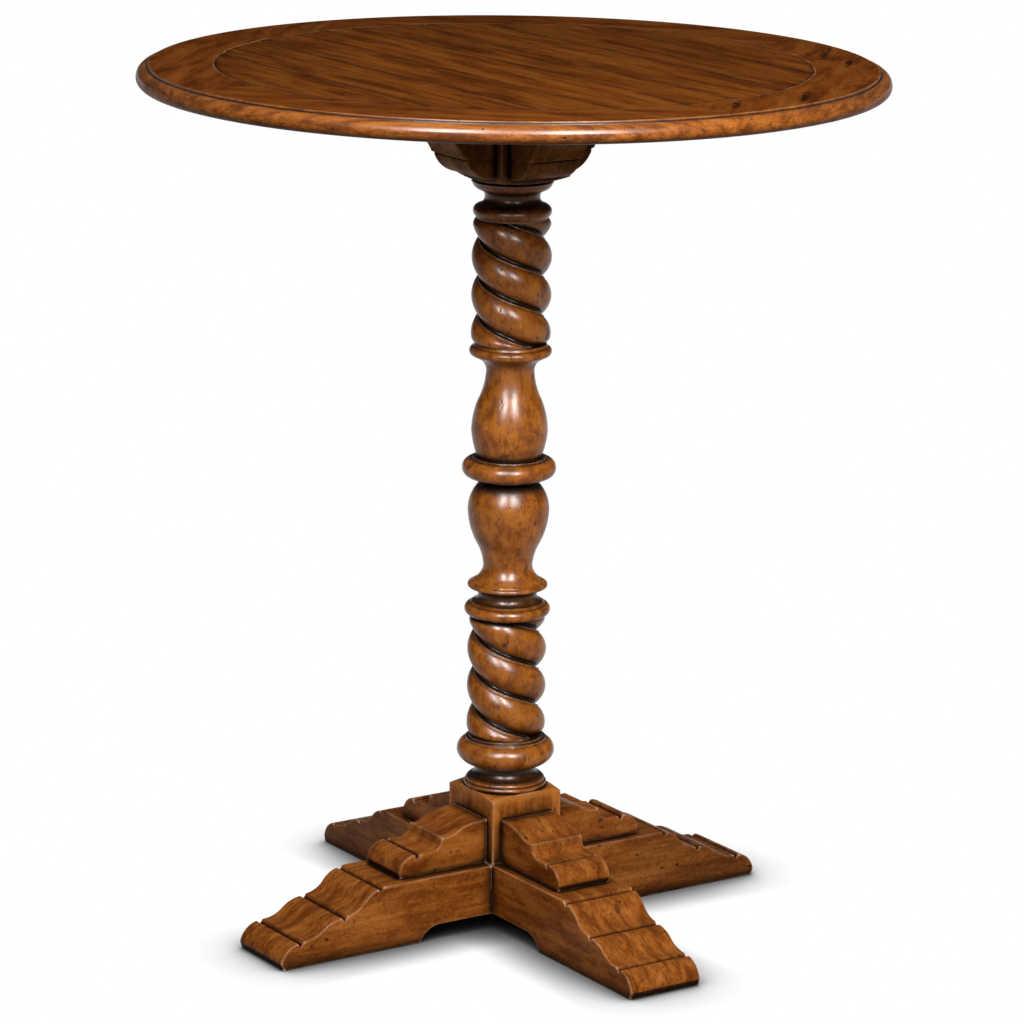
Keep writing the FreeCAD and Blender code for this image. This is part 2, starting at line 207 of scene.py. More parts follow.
def eased(points, ease=CORNER_EASE, closed=False, corners=None):
    """The outline with its sharp corners rounded a little."""
    corners = set(sharp_corners(points, closed) if corners is None else corners)
    out = []
    for index, point in enumerate(points):
        if index not in corners:
            out.append(point)
            continue
        before = points[index - 1] - point
        after = points[(index + 1) % len(points)] - point
        a = point + before.normalized() * min(ease, before.length * MOST_OF_SIDE_SHARE)
        b = point + after.normalized() * min(ease, after.length * MOST_OF_SIDE_SHARE)
        for t in CORNER_SHARES:
            out.append(a * (1 - t) ** 2 + point * 2 * t * (1 - t) + b * t * t)
    return out


def stepped(points, longest):
    """The outline with its long straights cut into steps."""
    out = [points[0]]
    for a, b in zip(points, points[1:]):
        count = max(1, math.ceil((b - a).length / longest))
        out += [a.lerp(b, step / count) for step in range(1, count + 1)]
    return out


def inset(points, distance):
    """A closed outline, listed with its inside on the left, moved inwards. Where it turns very
    sharply, a corner moves by no more than twice the distance."""
    moved = []
    count = len(points)
    for index, point in enumerate(points):
        before = (point - points[index - 1]).normalized()
        after = (points[(index + 1) % count] - point).normalized()
        normal = Vector((-before.y - after.y, before.x + after.x))
        if normal.length < TINY:
            moved.append(point)
            continue
        normal.normalize()
        facing = max(0.5, normal.dot(Vector((-before.y, before.x))))
        moved.append(point + normal * distance / facing)
    return moved


# Meshes
def finish_piece(name, bm, replaced, material):
    """Turns a bmesh into a shown piece that rides on the table and stands for a CAD node."""
    bmesh.ops.recalc_face_normals(bm, faces=bm.faces)
    mesh = bpy.data.meshes.new(name)
    bm.to_mesh(mesh)
    bm.free()
    mesh.shade_smooth()
    piece = bpy.data.objects.new(name, mesh)
    bpy.context.scene.collection.objects.link(piece)
    mesh.materials.append(material)
    weighted = piece.modifiers.new("face_normals", "WEIGHTED_NORMAL")
    weighted.keep_sharp = True
    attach(piece, "root")
    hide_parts(replaced)
    return piece


def join_rings(bm, rings):
    """Fills the bands between rings of vertices, each closed on itself."""
    count = len(rings[0])
    for low, high in zip(rings, rings[1:]):
        for index in range(count):
            after = (index + 1) % count
            bm.faces.new((low[index], low[after], high[after], high[index]))


def cap(bm, ring, flat):
    """Closes a ring of vertices, whose outline is given as points of its plane."""
    for triangle in tessellate_polygon([[point.to_3d() for point in flat]]):
        bm.faces.new([ring[index] for index in triangle])


def stack(rings_of_places, flats):
    """A solid through rings of places, capped at both ends. flats are the same rings, each as
    points of its plane."""
    bm = bmesh.new()
    rings = [[bm.verts.new(place) for place in places] for places in rings_of_places]
    join_rings(bm, rings)
    cap(bm, rings[0], flats[0])
    cap(bm, rings[-1], flats[-1])
    return bm


def lathe(bm, points, base, segments):
    """Adds an outline of (radius, height) points turned round Z, standing at height base."""
    angles = [math.tau * step / segments for step in range(segments)]
    rings = []
    for radius, height in points:
        z = base + height
        rings.append([bm.verts.new((radius * math.cos(a), radius * math.sin(a), z)) for a in angles])
    join_rings(bm, rings)


def slab(points, levels, place, corner_ease=CORNER_EASE):
    """A closed outline carried through levels of (depth, inset), capped at both ends.

    place turns a point of the outline and a depth into a place in the frame.
    """
    corners = sharp_corners(points, closed=True)
    flats = []
    for depth, drawn_in in levels:
        flats.append(eased(inset(points, drawn_in), corner_ease, closed=True, corners=corners))
    rings = [[place(point, depth) for point in flat] for (depth, drawn_in), flat in zip(levels, flats)]
    return stack(rings, flats)


def rounded_levels(low, high, ease, sharp_low=False):
    """Levels of a slab from low to high, with its edges rounded, or sharp at the low end."""
    rounding = []
    for t in EDGE_SHARES:
        angle = t * QUARTER_TURN
        rounding.append((ease * (1 - math.cos(angle)), ease * (1 - math.sin(angle))))
    upper = [(high - depth, drawn_in) for depth, drawn_in in reversed(rounding)]
    if sharp_low:
        return [(low, 0.0)] + upper
    return [(low + depth, drawn_in) for depth, drawn_in in rounding] + upper


def sawn(points, half_width, ease, turn, both_sides=False):
    """A moulded side view of (reach, height) points, as wide as asked, turned about Z."""
    rotation = Matrix.Rotation(turn, 3, "Z")
    if both_sides:
        points = points + [Vector((-p.x, p.y)) for p in reversed(points)]
    closed = [p for index, p in enumerate(points) if (p - points[index - 1]).length > TINY]
    area = sum(a.x * b.y - b.x * a.y for a, b in zip(closed, closed[1:] + closed[:1]))
    if area < 0:
        closed.reverse()

    def place(point, depth):
        return rotation @ Vector((point.x, depth, point.y))

    return slab(closed, rounded_levels(-half_width, half_width, ease), place)


# Materials
class Nodes:
    """The node tree of a material or world, with short ways to add and link nodes."""

    def __init__(self, owner):
        owner.use_nodes = True
        self.tree = owner.node_tree
        self.tree.nodes.clear()

    def add(self, kind, inputs=None, **settings):
        node = self.tree.nodes.new(kind)
        for name, value in settings.items():
            setattr(node, name, value)
        for name, value in (inputs or {}).items():
            if isinstance(value, bpy.types.NodeSocket):
                self.tree.links.new(value, node.inputs[name])
            else:
                node.inputs[name].default_value = value
        return node

    def math(self, operation, a, b=0.0, c=0.0, clamp=False):
        inputs = {0: a, 1: b, 2: c}
        return self.add("ShaderNodeMath", inputs, operation=operation, use_clamp=clamp).outputs[0]

    def span(self, value, low, high, to_low=0.0, to_high=1.0):
        """value taken smoothly from low..high to to_low..to_high, and held there outside."""
        inputs = {"Value": value, "From Min": low, "From Max": high, "To Min": to_low, "To Max": to_high}
        return self.add("ShaderNodeMapRange", inputs, interpolation_type="SMOOTHSTEP").outputs[0]

    def mix(self, factor, a, b, blend="MIX"):
        inputs = {0: factor, 6: a, 7: b}
        return self.add("ShaderNodeMix", inputs, data_type="RGBA", blend_type=blend).outputs[2]

    def place(self):
        """Where a point lies on its object."""
        return self.add("ShaderNodeTexCoord").outputs["Object"]

    def noise(self, coords, detail=4.0, roughness=0.55, distortion=0.0):
        inputs = {"Vector": coords, "Scale": 1.0, "Detail": detail, "Roughness": roughness}
        inputs["Distortion"] = distortion
        return self.add("ShaderNodeTexNoise", inputs).outputs[0]

    def spots(self, coords, radius, share):
        """Ragged spots, on this share of the cells of a random grid."""
        ragged = self.add("ShaderNodeTexNoise", {"Vector": coords, "Scale": 5.0, "Detail": 3.0})
        coords = self.mix(SPOT_RAGGEDNESS, coords, ragged.outputs["Color"])
        cells = self.add("ShaderNodeTexVoronoi", {"Vector": coords, "Scale": 1.0})
        near = self.span(cells.outputs["Distance"], radius * CORE_SHARE, radius, 1.0, 0.0)
        pick = self.add("ShaderNodeSeparateColor", {0: cells.outputs["Color"]}).outputs[0]
        return self.math("MULTIPLY", near, self.math("GREATER_THAN", pick, 1 - share))

    def openness(self, reach, samples=8, inside=False):
        """1 where nothing stands within reach, and less in hollows. Looked at from inside, it is
        less at edges."""
        settings = {"samples": samples, "inside": inside}
        return self.add("ShaderNodeAmbientOcclusion", {"Distance": reach}, **settings).outputs["AO"]

    def gathered(self, reach, starts, full, strength, **settings):
        """How much gathers in a place: nothing at the openness where it starts, and as much as
        strength at the one where it is full."""
        return self.span(self.openness(reach, **settings), starts, full, 0.0, strength)


def rgba(red, green, blue):
    return (red, green, blue, 1.0)


# Colours of the stained wood, its glaze, which also paints shade, and its worn edges, which also
# paint highlights, in linear light
PALE_WOOD = rgba(0.50, 0.190, 0.045)
MID_WOOD = rgba(0.34, 0.108, 0.018)
DEEP_WOOD = rgba(0.14, 0.036, 0.005)
GLAZE_AND_SHADE_COLOUR = rgba(0.010, 0.0042, 0.0018)
# Bare wood of the worn edges, which also stands for a painted highlight on them
BARE_WOOD_AND_HIGHLIGHT = rgba(0.60, 0.36, 0.23)

# Tints of the stain on each part
TOP_TONE = (0.56, 0.47, 0.28)
RING_TONE = (0.56, 0.46, 0.30)
NOSE_TONE = (0.86, 0.78, 0.62)
COLUMN_TONE = (0.88, 0.80, 0.42)
BASE_TONE = (0.82, 0.75, 0.64)
BLOCK_TONE = (0.98, 0.92, 0.70)
CORBEL_TONE = (0.72, 0.82, 1.0)

# How light each board of the top is against the others
BOARD_SHADES = (0.97, 0.93, 1.0, 1.05, 0.97, 1.02, 0.95, 0.98)

# Glazing and painted shade in the hollows of the blocks, brackets and rails: the openness at which
# they start and are full, and how far away a hollow counts
BASE_GLAZE_AND_SHADE = {"glaze_and_shade": (0.92, 0.48), "reach": 0.030}

# Noises of the wood: how fine they are along and across the grain, then their detail, roughness
# and distortion. The mottling has its own fineness on each part.
NOISES = {
    "figure": ((4.0, 60.0), 6.0, 0.55, 0.3),
    "streak": ((10.0, 260.0), 5.0, 0.55, 0.0),
    "pores": ((70.0, 1500.0), 2.0, 0.55, 0.0),
    "speckle": ((190.0, 360.0), 4.0, 0.75, 0.0),
    "smudge": ((24.0, 60.0), 6.0, 0.66, 0.4),
}
MOTTLE_NOISE = (6.0, 0.66, 0.15)

# Layers of the stain, one over the other: the noise that places a layer, the values at which it
# starts and is full, its strength, what scales that, and its colour
STAIN_LAYERS = (
    ("mottle", 0.48, 0.70, 0.80, "nothing", PALE_WOOD),
    ("figure", 0.50, 0.28, 0.75, "grain", DEEP_WOOD),
    ("figure", 0.50, 0.74, 0.60, "grain", PALE_WOOD),
    ("streak", 0.54, 0.34, 0.55, "grain", DEEP_WOOD),
    ("streak", 0.54, 0.74, 0.30, "grain", PALE_WOOD),
    ("speckle", 0.52, 0.68, 0.80, "nothing", DEEP_WOOD),
    ("speckle", 0.46, 0.32, 0.40, "nothing", PALE_WOOD),
    ("pores", 0.60, 0.72, 0.30, "grain", GLAZE_AND_SHADE_COLOUR),
    ("smudge", 0.62, 0.78, 0.70, "marks", GLAZE_AND_SHADE_COLOUR),
)

# Relief of the wood: the noise that raises it, by how much, and what scales that. Damage lowers
# it by 1, and RELIEF_DEPTH is how deep a step of 1 is.
RELIEF_LAYERS = (
    ("pores", -0.10, "grain"),
    ("streak", 0.20, "grain"),
    ("smudge", -0.45, "nothing"),
    ("mottle", 0.50, "nothing"),
)
RELIEF_DEPTH = 0.0007

# Wormholes, flecks and dents: how fine their cells are along and across the grain, their radius
# in a cell, the share of the cells that has one, and for the last two how dark they are
WORMHOLES = ((120.0, 120.0), 0.13, 0.55)
FLECKS = (
    ((60.0, 170.0), 0.18, 0.24, 0.7),
    ((24.0, 50.0), 0.17, 0.14, 0.5),
)
DAMAGE_DARKNESS = 0.9
SPOT_RAGGEDNESS = 0.3

# The inner share of a spot or a crack that is fully dark
CORE_SHARE = 0.55

# Where wormholes crowd, seams lose their glazing, and edges keep their stain and lose their painted
# highlight: how fine that noise is along and across the grain, the values between which it changes,
# and for the last two the least that is left
CROWDS = ((24.0, 24.0), 0.46, 0.57)
SEAM_BREAKS = ((16.0, 30.0), 0.38, 0.56, 0.3)
EDGE_BREAKS = ((40.0, 40.0), 0.30, 0.60, 0.15)

# Values of the mottling between which the ground gets lighter, and the lacquer smoother
GROUND_SPAN = (0.36, 0.54)
SHINE_SPAN = (0.3, 0.7)

# The cracks: how fine their raggedness is, the values of it between which they show, the least
# that is left of them, and how deep they go
CRACK_NOISE = (90, 90, 90)
CRACK_BREAKS = (0.36, 0.54, 0.30)
CRACK_DEPTH = 0.05

# Fineness of lying grain in height, as a share of its fineness across
LYING_GRAIN_SHARE = 0.6

# Pale strips along edges, glazing and painted shade in creases, glazing in seams, and worn edges that
# also paint highlights: how far away a place counts, and the openness at which they start and are full
STRIPS = (0.011, 0.97, 0.80)
CREASES = (0.007, 0.90, 0.60)
SEAMS = (0.009, 0.95, 0.60)
EDGE_WEAR_AND_HIGHLIGHTS = (0.0042, 0.80, 0.50)
HOLLOW_STRENGTH = 0.95
CREASE_STRENGTH = 0.94
EDGE_STRENGTH = 0.85

# The lacquer: how much rougher and smoother the mottling makes it, how much rougher it is on
# damage, and its index of refraction
ROUGHER = 0.05
SMOOTHER = 0.03
DAMAGE_ROUGHNESS = 0.25
LACQUER_IOR = 1.5

# How much painted shade darkens the rim's nose downwards, and from where to where along a rail and how
# much
NOSE_SHADE = 0.92
RAIL_SHADE_AT = (0.04, 0.26)
RAIL_SHADE = 0.38

# Dark grain lines in the ring: from x, y to x, y and how wide, in millimetres
RIM_CRACKS = (
    (340, -160, 438, -58, 13), (336, -220, 394, -156, 12), (118, -420, 190, -340, 12),
    (20, -420, 74, -361, 12), (-365, -112, -301, -186, 9),
)


def straight_coords(nodes, axis, seed):
    """A function that gives stretched coordinates for grain that runs along one axis."""
    place = nodes.place()
    draw = random.Random(seed)
    shift = tuple(draw.uniform(-9, 9) for _ in range(3))

    def coords(along, across):
        scale = [across, across, across * LYING_GRAIN_SHARE]
        scale[axis] = along
        inputs = {"Vector": place, "Scale": scale, "Location": shift}
        return nodes.add("ShaderNodeMapping", inputs).outputs[0]

    return coords


def grain_along(axis):
    """Grain along X, Y or Z, as 0, 1 or 2."""
    return lambda nodes, seed: straight_coords(nodes, axis, seed)


def ring_coords(nodes, seed):
    """A function that gives stretched coordinates for a ring of four pieces, each with straight
    grain along the chord of its quarter."""
    parts = nodes.add("ShaderNodeSeparateXYZ", {0: nodes.place()}).outputs
    x, y = (nodes.math("ABSOLUTE", part) for part in parts[:2])
    piece = nodes.math("MULTIPLY_ADD", nodes.math("GREATER_THAN", parts[0], 0.0), 2.0,
                       nodes.math("GREATER_THAN", parts[1], 0.0))
    chord = nodes.math("MULTIPLY", nodes.math("SUBTRACT", y, x), math.sqrt(0.5))
    reach = nodes.math("MULTIPLY", nodes.math("ADD", y, x), math.sqrt(0.5))
    draw = random.Random(seed)
    shift = nodes.math("MULTIPLY_ADD", piece, draw.uniform(2.2, 3.1), draw.uniform(1, 9))

    def coords(along, across):
        inputs = {
            0: nodes.math("MULTIPLY_ADD", chord, along, shift),
            1: nodes.math("MULTIPLY_ADD", reach, across, shift),
            2: nodes.math("MULTIPLY", parts[2], across),
        }
        return nodes.add("ShaderNodeCombineXYZ", inputs).outputs[0]

    return coords


def cracks_mask(nodes, cracks):
    """Ragged dark lines on the top, each from one place to another in millimetres."""
    place = nodes.place()
    ragged = nodes.add("ShaderNodeMapping", {"Vector": place, "Scale": CRACK_NOISE}).outputs[0]
    ragged = nodes.span(nodes.noise(ragged), *CRACK_BREAKS, 1.0)
    mask = 0.0
    for x_from, y_from, x_to, y_to, width in cracks:
        middle = Vector((x_from + x_to, y_from + y_to, 0)) * MM / 2
        middle.z = TABLE_TOP
        run = Vector((x_to - x_from, y_to - y_from)) * MM
        inputs = {
            "Vector": place,
            "Location": middle,
            "Rotation": (0, 0, math.atan2(run.y, run.x)),
            "Scale": (run.length / 2, width * MM / 2, CRACK_DEPTH),
        }
        near = nodes.add("ShaderNodeMapping", inputs, vector_type="TEXTURE").outputs[0]
        far = nodes.add("ShaderNodeVectorMath", {0: near}, operation="LENGTH").outputs["Value"]
        mask = nodes.math("MAXIMUM", mask, nodes.span(far, CORE_SHARE, 1.0, 1.0, 0.0))
    return nodes.math("MULTIPLY", mask, ragged)


def stained(nodes, noise, scales, tone, strips, painted_shade, depth):
    """The stained wood: its mottling, grain and pores, pale strips along the edges, its tint, and
    a run into painted shade."""
    ground = nodes.span(noise["mottle"], *GROUND_SPAN, 1.0 - depth, 1.0)
    colour = nodes.mix(ground, DEEP_WOOD, MID_WOOD)
    for pattern, start, full, strength, scaled_by, layer in STAIN_LAYERS:
        amount = nodes.span(noise[pattern], start, full, 0.0, strength * scales[scaled_by])
        colour = nodes.mix(amount, colour, layer)
    if strips:
        colour = nodes.mix(nodes.gathered(*STRIPS, strips, inside=True), colour, PALE_WOOD)
    colour = nodes.mix(1.0, colour, rgba(*tone), "MULTIPLY")
    # Painted shade, darkening the wood along one axis
    if painted_shade:
        axis, start, end, share = painted_shade
        reached = nodes.add("ShaderNodeSeparateXYZ", {0: nodes.place()}).outputs[axis]
        colour = nodes.mix(nodes.span(reached, start, end, 0.0, share), colour, GLAZE_AND_SHADE_COLOUR)
    return colour


def damage(nodes, coords, marks, cracks):
    """Wormholes in crowds, flecks, dents and cracks, as how dark each place is."""
    fineness, sparse, full = CROWDS
    crowd = nodes.span(nodes.noise(coords(*fineness), detail=2.0), sparse, full)
    fineness, radius, share = WORMHOLES
    marked = nodes.math("MULTIPLY", nodes.spots(coords(*fineness), radius, share), crowd)
    for fineness, radius, share, dark in FLECKS:
        spots = nodes.math("MULTIPLY", nodes.spots(coords(*fineness), radius, share), dark)
        marked = nodes.math("MAXIMUM", marked, spots)
    marked = nodes.math("MULTIPLY", marked, DAMAGE_DARKNESS * marks, clamp=True)
    if cracks:
        cracked = nodes.math("MULTIPLY", cracks_mask(nodes, cracks), DAMAGE_DARKNESS)
        marked = nodes.math("MAXIMUM", marked, cracked)
    return marked


def glazed_and_shaded(nodes, coords, colour, glaze_and_shade, reach, seams):
    """The colour darkened by glazing and painted shade in its hollows and creases, and by dark glazing at
    its seams.
    """
    colour = nodes.mix(nodes.gathered(reach, *glaze_and_shade, HOLLOW_STRENGTH, samples=12), colour, GLAZE_AND_SHADE_COLOUR)
    colour = nodes.mix(nodes.gathered(*CREASES, CREASE_STRENGTH), colour, GLAZE_AND_SHADE_COLOUR)
    if seams:
        seam = nodes.gathered(*SEAMS, seams, inside=True)
        fineness, *breaks = SEAM_BREAKS
        broken = nodes.span(nodes.noise(coords(*fineness)), *breaks, 1.0)
        colour = nodes.mix(nodes.math("MULTIPLY", seam, broken), colour, GLAZE_AND_SHADE_COLOUR)
    return colour


def rubbed_and_highlit(nodes, coords, colour, wear_and_highlight):
    """The colour with its edges worn in patches down to the bare wood, which also paints highlights on
    them.
    """
    edge = nodes.gathered(*EDGE_WEAR_AND_HIGHLIGHTS, EDGE_STRENGTH * wear_and_highlight, inside=True)
    fineness, *breaks = EDGE_BREAKS
    patches = nodes.span(nodes.noise(coords(*fineness), detail=3.0), *breaks, 1.0)
    return nodes.mix(nodes.math("MULTIPLY", edge, patches), colour, BARE_WOOD_AND_HIGHLIGHT)


def relief(nodes, noise, scales, marked):
    """The bumps of the wood under its lacquer, and its damage."""
    height = nodes.math("MULTIPLY", marked, -1.0)
    for pattern, amount, scaled_by in RELIEF_LAYERS:
        height = nodes.math("MULTIPLY_ADD", noise[pattern], amount * scales[scaled_by], height)
    inputs = {"Strength": 0.5, "Distance": RELIEF_DEPTH, "Height": height}
    return nodes.add("ShaderNodeBump", inputs).outputs[0]


def wood(name, coords_of, seed, tone, gloss, roughness=0.3, grain=1.0, wear_and_highlight=1.0,
         glaze_and_shade=(0.86, 0.44), reach=0.024, marks=1.0, mottle=(24.0, 40.0), cracks=(), strips=0.0,
         seams=0.0, painted_shade=None, depth=1.0):
    """Stained, distressed and lacquered wood, with painted shade in its hollows and painted
    highlights on its worn edges.

    tone tints the stain, gloss is the strength of the lacquer's shine and roughness its spread.
    grain, wear_and_highlight and marks scale the long grain, the worn edges with their painted
    highlights, and the small damage. glaze_and_shade is the openness at which the dark glazing and
    the painted shade in hollows start and are full, and reach how far away a hollow counts.
    mottle is the fineness of the mottling along and across the grain, and depth how dark it gets.
    cracks are dark lines, strips says how much the stain lightens towards the edges, and seams how
    dark the glazing at the edges is. painted_shade is an axis, the places on it between which the
    wood darkens with painted shade, and how much.
    """
    material = bpy.data.materials.new(name)
    nodes = Nodes(material)
    coords = coords_of(nodes, seed)
    noise = {"mottle": nodes.noise(coords(*mottle), *MOTTLE_NOISE)}
    for pattern, (fineness, *rest) in NOISES.items():
        noise[pattern] = nodes.noise(coords(*fineness), *rest)
    scales = {"nothing": 1.0, "grain": grain, "marks": marks}
    marked = damage(nodes, coords, marks, cracks)

    colour = stained(nodes, noise, scales, tone, strips, painted_shade, depth)
    colour = nodes.mix(marked, colour, GLAZE_AND_SHADE_COLOUR)
    colour = glazed_and_shaded(nodes, coords, colour, glaze_and_shade, reach, seams)
    colour = rubbed_and_highlit(nodes, coords, colour, wear_and_highlight)
    rough = nodes.span(noise["mottle"], *SHINE_SPAN, roughness + ROUGHER, roughness - SMOOTHER)
    shader = nodes.add("ShaderNodeBsdfPrincipled", {
        "Base Color": colour,
        "Roughness": nodes.math("MULTIPLY_ADD", marked, DAMAGE_ROUGHNESS, rough),
        "Normal": relief(nodes, noise, scales, marked),
        "IOR": LACQUER_IOR,
        "Specular IOR Level": gloss,
    })
    nodes.add("ShaderNodeOutputMaterial", {"Surface": shader.outputs[0]})
    return material


# The top
def make_boards():
    """The eight boards of the field, each with eased seams and an end that follows the ring."""

    def upright(point, depth):
        return Vector((point.x, point.y, depth))

    levels = rounded_levels(TOP_UNDER, TABLE_TOP, BOARD_EASE, sharp_low=True)
    for number, shade in enumerate(BOARD_SHADES, 1):
        node = f"field_board_{number}"
        low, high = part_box(node)
        edge = []
        for x_from, x_to, side in ((high.x, low.x, 1), (low.x, high.x, -1)):
            steps = max(BOARD_LEAST_STEPS, math.ceil(abs(x_to - x_from) / BOARD_STEP))
            for step in range(steps + 1):
                x = max(-FIELD_RADIUS, min(FIELD_RADIUS, x_from + (x_to - x_from) * step / steps))
                y = side * math.sqrt(max(0.0, FIELD_RADIUS**2 - x**2))
                edge.append(Vector((x, y)))
        edge = [p for index, p in enumerate(edge) if (p - edge[index - 1]).length > BOARD_LEAST_SIDE]
        bm = slab(edge, levels, upright, BOARD_CORNER_EASE)
        tone = [shade * part for part in TOP_TONE]
        material = wood(f"board_wood_{number}", grain_along(1), number, tone, gloss=0.01, roughness=0.5,
                        wear_and_highlight=0.1, marks=0.5, mottle=(7.0, 52.0), seams=0.7)
        finish_piece(f"board_{number}", bm, node, material)


def rim_points():
    """Outline of the rim, measured in from the table's edge and down from its top."""
    inner = FIELD_RADIUS / MM
    outer = TOP_RADIUS / MM
    top = (TABLE_TOP - TOP_UNDER) / MM
    return outline(
        (inner, 0.0),
        (inner, top),
        (outer - 16.2, top),
        (outer - 15.2, top - 0.5, outer - 14.9, top - 1.6),
        (outer - 14.7, top - 3.9),
        (outer - 13.6, top - 3.5),
        (outer - 4.3, top - 6.3, outer - 0.3, top - 14.6),
        (outer - 1.4, top - 20.6, outer - 7.6, 0.4),
        (outer - 9.0, 0.0),
        (inner, 0.0),
    )


def make_rim():
    """The wide ring round the boards, with its shoulder and bullnose, in three woods."""
    bm = bmesh.new()
    lathe(bm, stepped(eased(rim_points(), RIM_EASE), RIM_STEP), TOP_UNDER, RIM_SEGMENTS)
    seed = 21
    ring_wood = wood("rim_top_wood", ring_coords, seed, RING_TONE, gloss=0.01, roughness=0.5, grain=0.7,
                     wear_and_highlight=0.9, marks=0.7, mottle=(10.0, 46.0), cracks=RIM_CRACKS)
    # The nose darkens towards its underside: painted shade
    edge_look = {
        "tone": NOSE_TONE,
        "grain": 0.7,
        "marks": 2.0,
        "mottle": (10.0, 90.0),
        "painted_shade": (2, TABLE_TOP - NOSE_SHADE_FROM, TOP_UNDER - NOSE_SHADE_BELOW, NOSE_SHADE),
    }
    nose_wood = wood("rim_nose_wood", ring_coords, seed, gloss=0.20, wear_and_highlight=0.5, **edge_look)
    under_wood = wood("rim_under_wood", ring_coords, seed, gloss=0.05, roughness=0.4, **edge_look)
    piece = finish_piece("rim_ring", bm, "rim", ring_wood)
    piece.data.materials.append(nose_wood)
    piece.data.materials.append(under_wood)
    for face in piece.data.polygons:
        middle = face.center
        if math.hypot(middle.x, middle.y) > TOP_RADIUS - RING_INSET:
            face.material_index = 1 if middle.z > TABLE_TOP - NOSE_DEPTH else 2


# The column
def foot_turning():
    """Plinth, cove and torus above the base block."""
    top = FOOT_TURNING / MM
    return outline(
        (CORE, 3.5), (49.8, 4.2), (52.0, 7.2, 50.2, 10.4), (49.0, 10.6), (49.4, 13.0, 47.6, 15.0),
        (46, 16.4), (39.2, 20.5, 37.2, 28), (36.8, 31.8), (39.5, 32.4), (49, 34.2, 56.5, 39.6),
        (61.1, 49, 50.5, 64), (50.5, 66.5), (46.5, 66.5), (46.2, top), (CORE, top),
    )


def lower_vase():
    """Collar, waist, ring, neck, vase and centre ring above the lower twist."""
    top = LOWER_VASE / MM
    return outline(
        (CORE, 0), (46, 0), (53.2, 9.5, 47, 14.5), (44, 17.5), (36.6, 26, 46, 35), (49.2, 36),
        (49.9, 38.5, 47.6, 41.2), (45.6, 41.6), (45.4, 42.8), (35.0, 51.5, 30.5, 63), (33, 77, 39.6, 92.5),
        (48.4, 116.5, 50.6, 132.5), (47.3, 152.5, 33.6, 171.5), (33.6, 174.5), (46, 176),
        (58.4, 188.5, 48, 199.5), (45.5, 199.5), (45.5, top), (CORE, top),
    )


def upper_vase():
    """Vase, neck and collar above the centre ring."""
    top = UPPER_VASE / MM
    return outline(
        (CORE, 0), (40, 0), (45, 17, 47.4, 33), (45.4, 52, 39.8, 71), (32.9, 89, 30.1, 105),
        (31.5, 116, 41, 125), (46.8, 128), (51, 133, 46, 139.5), (44.5, top), (CORE, top),
    )


def capital():
    """Ring, cove and ovolo above the upper twist."""
    return outline(
        (CORE, 0), (44.5, 0), (44.5, 2.5), (48.4, 9.5, 44.5, 16), (43, 17), (34, 26, 36, 33), (42, 36),
        (47, 39.5, 49.5, 44.4), (50.6, 45.4), (50.4, 47.2), (CORE, 47.6),
    )


def strand_shape(share):
    """How far a strand stands out of its groove, from 0 to 1, at a share of the way across it."""
    if share < STRAND_LIP_SHARES[0][0]:
        return (1 - (2 * share - 1) ** 2) ** STRAND_FULLNESS
    lip = zip(STRAND_LIP_SHARES, STRAND_LIP_SHARES[1:])
    (low, low_out), (high, high_out) = next(pair for pair in lip if share <= pair[1][0])
    return low_out + (high_out - low_out) * (share - low) / (high - low)


def add_twist(bm, base, groove_at):
    """Adds one left-handed, two-strand barley twist, its rows laid along the strands."""
    strand = TWIST_LEAD / TWIST_STARTS
    foot_share = STRAND_FOOT_SHARES[-1]
    round_share = STRAND_LIP_SHARES[0][0] - foot_share
    shares = list(STRAND_FOOT_SHARES)
    shares += [foot_share + round_share * row / STRAND_ROWS for row in range(1, STRAND_ROWS)]
    shares += [share for share, out in STRAND_LIP_SHARES[:-1]]
    top = base + TWIST
    first = math.floor((base - groove_at) / strand) - 1
    last = math.ceil((top + TWIST_LEAD - groove_at) / strand) + 1
    rows = []
    for turn in range(first, last):
        rows += [(groove_at + strand * (turn + share), share) for share in shares]
    grid = []
    for height, share in rows:
        row = []
        for step in range(COLUMN_SEGMENTS + 1):
            angle = math.tau * step / COLUMN_SEGMENTS
            z = height - TWIST_LEAD * step / COLUMN_SEGMENTS
            end = min(max(0.0, z - base), max(0.0, top - z), END_HEIGHT) / END_HEIGHT
            crest = END_RADIUS + (CREST_RADIUS - END_RADIUS) * math.sin(end * QUARTER_TURN)
            radius = ROOT_RADIUS + (crest - ROOT_RADIUS) * strand_shape(share)
            row.append(bm.verts.new((radius * math.cos(angle), radius * math.sin(angle), z)))
        grid.append(row)
    for low, high in zip(grid, grid[1:]):
        for step in range(COLUMN_SEGMENTS):
            bm.faces.new((low[step], low[step + 1], high[step + 1], high[step]))
    bmesh.ops.remove_doubles(bm, verts=[vert for row in grid for vert in row], dist=WELD)
    for height, normal in ((base, (0, 0, -1)), (top, (0, 0, 1))):
        geometry = list(bm.verts) + list(bm.edges) + list(bm.faces)
        bmesh.ops.bisect_plane(
            bm, geom=geometry, plane_co=(0, 0, height), plane_no=normal, clear_outer=True
        )


